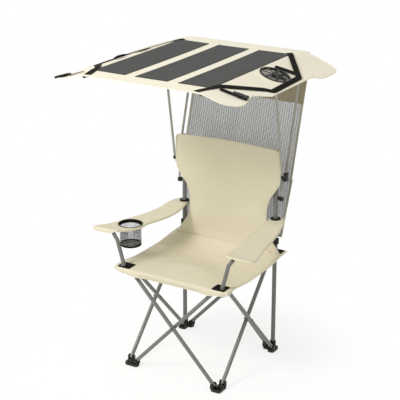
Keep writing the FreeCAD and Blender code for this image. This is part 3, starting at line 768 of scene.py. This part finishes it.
for k, a in enumerate((math.radians(31), math.radians(211))):
    outward = np.array((math.cos(a), math.sin(a), 0.0))
    path = [np.array((*CUP, z)) + outward * 43.8 for z in np.linspace(low + 8.0, CUP_Z - 11.0, 12)]
    seams.append(ribbon("cup_holder_seam_%d" % (k + 1), path, 6.0, 1.0, STRAP, np.tile(outward, (12, 1))))
place(wall, "left_arm", ["cup_basket"], ARM_FOLD)
place(floor_net, "left_arm", (), ARM_FOLD)
for obj in [binding, collar] + seams:
    place(obj, "left_arm", (), ARM_FOLD)
sheet(wall)
sheet(floor_net)


# Canopy: a panel that runs over both rails, with a short rear slope and a wing on each side
ROOF_MID = 1.4


def roof(x, y):
    """Height of the canopy's upper face."""
    ax = np.abs(np.asarray(x, float))
    y = np.asarray(y, float)
    d = ax - CANOPY_HALF
    e = y - CANOPY_REAR
    drop = WING_SLOPE * (d + np.sqrt(d * d + 14.0 ** 2)) / 2
    drop = drop + REAR_SLOPE * (e + np.sqrt(e * e + 12.0 ** 2)) / 2 * (1 - 0.75 * smooth(280, 330, ax))
    bay = np.clip(1 - (ax / CANOPY_HALF) ** 2, 0, 1) * np.clip(1 - ((y + 55.0) / 390.0) ** 2, 0, 1)
    return CANOPY_Z - drop - 4.0 * bay


xs = np.linspace(-PANEL_EDGE, PANEL_EDGE, 57)
ys = CANOPY_FRONT + stations(CANOPY_SKIRT - CANOPY_FRONT, 12.0) * (CANOPY_SKIRT - CANOPY_FRONT)
gx, gy = np.meshgrid(xs, ys)
grid = np.stack([gx, gy, roof(gx, gy) - ROOF_MID], axis=2)
panel = cloth("canopy_panel", grid, CLOTH, [ROOF], hems=(0, 0, 1, 1))
place(panel, "canopy_right", ["canopy_cover"], FOLD_ROOF)
sheet(panel)

EAR_FRONT = ((300, -446), (352, -436), (386, -392), (384, -335), (366, -268))
WING_EDGE = 408.0
EAR_REAR = ((408, 78), (411, 128), (434, 166), (438, 215), (437, 270), (425, 305), (390, 326), (340, 336),
            (282, 346))


def wing_grid():
    """The right wing's points, and the line of its outer edge."""
    outer = np.concatenate([flowing(EAR_FRONT, 9), along([(366, -268), (WING_EDGE, -194)], 9)[1:],
                            along([(WING_EDGE, -194), (WING_EDGE, 78)], 26)[1:], flowing(EAR_REAR, 8)[1:],
                            along([(282, 346), (254, CANOPY_SKIRT)], 12)[1:]])
    inner_y = np.maximum.accumulate(outer[:, 1])
    cross = stations(150.0, 7.0)
    rows = []
    for (ox, oy), iy in zip(outer, inner_y):
        x = PANEL_EDGE + (ox - PANEL_EDGE) * cross
        y = iy + (oy - iy) * cross
        slack = 3.0 * np.sin(np.pi * cross) * smooth(300, 400, ox)
        rows.append(np.stack([x, y, roof(x, y) - ROOF_MID - slack], axis=1))
    return np.array(rows), outer


grid, outline = wing_grid()
edge_line = np.column_stack([outline, roof(outline[:, 0], outline[:, 1]) - ROOF_MID])
holed, skip_fan = hole(grid, FAN, FAN_R + 0.6, FAN_R + 12, 1.0 / math.cos(math.atan(WING_SLOPE)))
holed[..., 2] = np.where(np.abs(holed[..., :2] - grid[..., :2]).max(axis=2) > 1e-6,
                         roof(holed[..., 0], holed[..., 1]) - ROOF_MID, holed[..., 2])
for side, g, skip in (("right", holed, skip_fan), ("left", flipped(grid), None)):
    sign = 1 if side == "right" else -1
    wing = cloth("canopy_wing_" + side, g, CLOTH, [ROOF], hems=(0, 1, 1, 1), skip=skip)
    place(wing, "canopy_" + side)
    trim = piping("canopy_piping_" + side, edge_line * (sign, 1, 1), 2.0, PIPING)
    place(trim, "canopy_" + side)
    sheet(wing)

STRIP_W, STRIP_L, STRIP_PITCH, STRIP_FRONT = 140.0, 608.0, 185.0, -362.0
for column, name in ((-1, "left"), (0, "middle"), (1, "right")):
    xs = column * STRIP_PITCH - STRIP_W / 2 + STRIP_W * stations(STRIP_W, 14.0, 4.0)
    ys = STRIP_FRONT + STRIP_L * stations(STRIP_L, 16.0, 4.0)
    gx, gy = np.meshgrid(xs, ys)
    grid = np.stack([gx, gy, roof(gx, gy) + 1.0], axis=2)
    strip = cloth("solar_strip_" + name, grid, 1.8, [SOLAR], hem_mm=4.0, roll=0.1)
    place(strip, "canopy_right", ["solar_strips"] if column == 0 else (), FOLD_ROOF)
    sheet(strip)


# Straps sewn on the wings, with a buckle at each front ear
def roof_path(points, sign, lift, step=5.0):
    """A path on the canopy, lift above it, and the cloth's upward direction along it."""
    p = np.asarray(points, float)
    total = np.linalg.norm(np.diff(p, axis=0), axis=1).sum()
    q = along(p, max(6, int(total / step)))
    z = roof(q[:, 0], q[:, 1]) + lift
    up = np.column_stack([WING_SLOPE * smooth(250, 278, q[:, 0]) * sign, 0 * z, np.ones_like(z)])
    return np.column_stack([q[:, 0] * sign, q[:, 1], z]), up


def buckle(name, at, direction, up):
    """A side-release buckle: body, two side arms and the strap bar."""
    d = Vector(direction).normalized()
    n = Vector(up).normalized()
    s = n.cross(d).normalized()
    n = d.cross(s)
    turn = Matrix((d, s, n)).transposed().to_4x4()
    bm = bmesh.new()
    boxes = (((0, 0, 4.2), (38, 24, 8)), ((26, 0, 4.2), (16, 31, 8)), ((4, 15.0, 4.0), (26, 4.4, 6)),
             ((4, -15.0, 4.0), (26, 4.4, 6)), ((-22, 0, 3.6), (8, 30, 5)))
    for centre, size in boxes:
        made = bmesh.ops.create_cube(bm, size=1.0)["verts"]
        bmesh.ops.scale(bm, vec=size, verts=made)
        bmesh.ops.translate(bm, vec=centre, verts=made)
    bmesh.ops.bevel(bm, geom=list(bm.edges), offset=1.5, segments=2, affect="EDGES")
    bmesh.ops.transform(bm, matrix=turn, verts=bm.verts)
    bmesh.ops.translate(bm, vec=at, verts=bm.verts)
    verts = [v.co[:] for v in bm.verts]
    bm.verts.index_update()
    faces = [[v.index for v in f.verts] for f in bm.faces]
    bm.free()
    return mesh_object(name, verts, faces, [PLASTIC], sharp=0.6)


LONG_STRAP = ((233, -431), (264, -325), (368, -175), (393, -155), (386, 64), (243, 262))
BUCKLE_STRAP = {"right": ((279, -343), (362, -323)), "left": ((300, -362), (396, -384))}
SHORT_STRAP = ((288, 56), (376, 90))
for side, sign in (("right", 1), ("left", -1)):
    body = "canopy_" + side
    path, up = roof_path(LONG_STRAP, sign, 1.4)
    main = ribbon("strap_long_" + side, path, 25.0, 1.7, STRAP, up)
    path, up = roof_path(BUCKLE_STRAP[side], sign, 1.6)
    tail = ribbon("strap_buckle_" + side, path, 22.0, 1.6, STRAP, up)
    clasp = buckle("buckle_" + side, path[-4], path[-1] - path[0], up[-1])
    path, up = roof_path(SHORT_STRAP, sign, 2.4)
    short = ribbon("strap_short_" + side, path, 28.0, 1.6, STRAP, up)
    for obj in (main, tail, short):
        place(obj, body)
    place(clasp, body)
    sheet(main)
    sheet(tail)
    sheet(short)


# A pale net under the fan's guard, and a webbing loop on the left wing
slope = math.atan(WING_SLOPE)
down = np.array((math.cos(slope), 0, -math.sin(slope)))
out = np.array((math.sin(slope), 0, math.cos(slope)))
seat_of_fan = np.array((*FAN, float(roof(*FAN))))
rows = []
for r in np.linspace(3, FAN_R - 1.5, 8):
    rows.append([seat_of_fan + down * r * math.cos(a) + np.array((0, r * math.sin(a), 0)) - out * 7.0
                 for a in around])
screen = cloth("fan_screen_net", rows, 0.6, [FAN_NET], hems=(0, 0, 0, 0))
place(screen, "canopy_right")
sheet(screen)
path, up = roof_path(((350, -82), (350, -22)), -1, 1.6)
path[:, 2] += 2.0 + 5.0 * np.sin(np.pi * np.linspace(0, 1, len(path)))
loop = place(ribbon("strap_loop_left", path, 24.0, 6.5, STRAP, up), "canopy_left")
sheet(loop)


# Rear curtain: net with sewn borders, a band at the top in cream cloth darkened with painted shade (the
# canopy's rear drop seen in shadow), and a hem below
BORDER_FROM = 0.963
BAND_FROM = 1056
UPPER_TOP, UPPER_LOW = (264, 417, 1250), (264, 271, 748)
LOWER_TOP, LOWER_LOW = (262, 285.5, 752), (241, 240, 509)


def curtain_grid(top, low, step, hem):
    """Points between two edges, each given by its half width, y and z."""
    x = np.concatenate([[-1, -0.996, -0.975, -0.962], np.linspace(-0.94, 0.94, 47), [0.962, 0.975, 0.996, 1]])
    rows = []
    for s in stations(np.hypot(top[1] - low[1], top[2] - low[2]), step, hem):
        half, y, z = np.array(top) + (np.array(low) - top) * s
        billow = 5.0 * math.sin(math.pi * s) * (1 - x ** 2)
        ripple = 1.2 * np.sin(x * 17.0) * math.sin(math.pi * s)
        rows.append(np.stack([x * half, y + billow + ripple, np.full_like(x, z)], axis=1))
    return rows


def upper_kind(p):
    """Net (0), border (1) or the band at the top (2), cream cloth darkened with painted shade."""
    if p[2] > BAND_FROM:
        return 2
    return 1 if abs(p[0]) > BORDER_FROM * UPPER_TOP[0] else 0


def lower_kind(p):
    """Net (0), or border and hem (1)."""
    half = 241 + 21 * (p[2] - 509) / 243
    return 1 if abs(p[0]) > BORDER_FROM * half or p[2] < 519 else 0


grid = curtain_grid(UPPER_TOP, UPPER_LOW, 8.0, 9.0)
# The band at the top takes the cream cloth darkened with painted shade
upper = cloth("curtain_upper_net", grid, 1.0, [NET, BORDER, PAINTED_SHADE_BAND], hems=(1, 1, 0, 0), choose=upper_kind)
grid = curtain_grid(LOWER_TOP, LOWER_LOW, 8.0, 9.0)
lower = cloth("curtain_lower_net", grid, 1.0, [NET, BORDER], hems=(1, 1, 0, 1), choose=lower_kind)
place(upper, "canopy_right", ["curtain_upper"], FOLD_ROOF)
place(lower, "rear_right", ["curtain_lower"], FOLD_ROOF)
sheet(upper)
sheet(lower)

# Stage: a pale floor that runs out to white, soft daylight and the photograph's camera
scene = bpy.context.scene
scene.view_settings.view_transform = "Standard"
scene.view_settings.look = "None"
scene.view_settings.exposure = 0.0
scene.view_settings.gamma = 1.0


def seen(tree):
    """1 for rays of the camera, of mirrors and through clear things, 0 for those that light the chair."""
    path = add(tree, "ShaderNodeLightPath").outputs
    bounced = maths(tree, "MAXIMUM", path["Is Glossy Ray"], path["Is Transmission Ray"])
    return maths(tree, "MAXIMUM", path["Is Camera Ray"], bounced)


m, t = start("studio_floor_white")
spot = add(t, "ShaderNodeNewGeometry").outputs["Position"]
reach = add(t, "ShaderNodeVectorMath", {0: spot}, operation="LENGTH").outputs["Value"]
limits = {"Value": reach, "From Min": 0.35, "From Max": 0.80, "To Min": 0.76, "To Max": 1.0}
fade = add(t, "ShaderNodeMapRange", limits, interpolation_type="SMOOTHSTEP")
dull = add(t, "ShaderNodeBsdfDiffuse", {"Color": colour("FBFBF8")})
glow = add(t, "ShaderNodeEmission", {"Color": colour("FFFFFF"), "Strength": 1.0})
shown = maths(t, "MULTIPLY", fade.outputs["Result"], seen(t))
blend = add(t, "ShaderNodeMixShader", {0: shown, 1: dull.outputs[0], 2: glow.outputs[0]})
add(t, "ShaderNodeOutputMaterial", {"Surface": blend.outputs[0]})
plane = bpy.data.meshes.new("floor")
plane.from_pydata([(-9, -9, 0), (9, -9, 0), (9, 9, 0), (-9, 9, 0)], [], [(0, 1, 2, 3)])
plane.materials.append(m)
ground = bpy.data.objects.new("floor", plane)
scene.collection.objects.link(ground)
ground.location.z = -0.0005

world = bpy.data.worlds.new("studio_white")
scene.world = world
world.use_nodes = True
w = world.node_tree
w.nodes.clear()
soft = add(w, "ShaderNodeBackground", {"Color": colour("FFFEFA"), "Strength": 0.70})
white = add(w, "ShaderNodeBackground", {"Color": colour("FFFFFF"), "Strength": 1.0})
both = add(w, "ShaderNodeMixShader", {0: seen(w), 1: soft.outputs[0], 2: white.outputs[0]})
add(w, "ShaderNodeOutputWorld", {"Surface": both.outputs[0]})


def lamp(name, place_at, aim, size, power):
    data = bpy.data.lights.new(name, "AREA")
    data.shape = "DISK"
    data.size = size
    data.energy = power
    obj = bpy.data.objects.new(name, data)
    scene.collection.objects.link(obj)
    obj.location = place_at
    obj.rotation_euler = (Vector(aim) - Vector(place_at)).to_track_quat("-Z", "Y").to_euler()
    return obj


lamp("key", (-1.3, -3.2, 3.7), (0, 0, 0.6), 1.5, 124.0)

CAMERA_DISTANCE = 4.928
az, el = math.radians(31.07), math.radians(19.93)
target = Vector(metres((-7.58, -4.57, 702.8)))
away = Vector((math.sin(az) * math.cos(el), -math.cos(az) * math.cos(el), math.sin(el)))
lens = bpy.data.cameras.new("camera")
lens.lens = 110.19
lens.sensor_width = 36.0
lens.dof.use_dof = False
lens.clip_end = 60.0
camera = bpy.data.objects.new("camera", lens)
scene.collection.objects.link(camera)
camera.location = target + away * CAMERA_DISTANCE
camera.rotation_euler = (-away).to_track_quat("-Z", "Y").to_euler()
scene.camera = camera
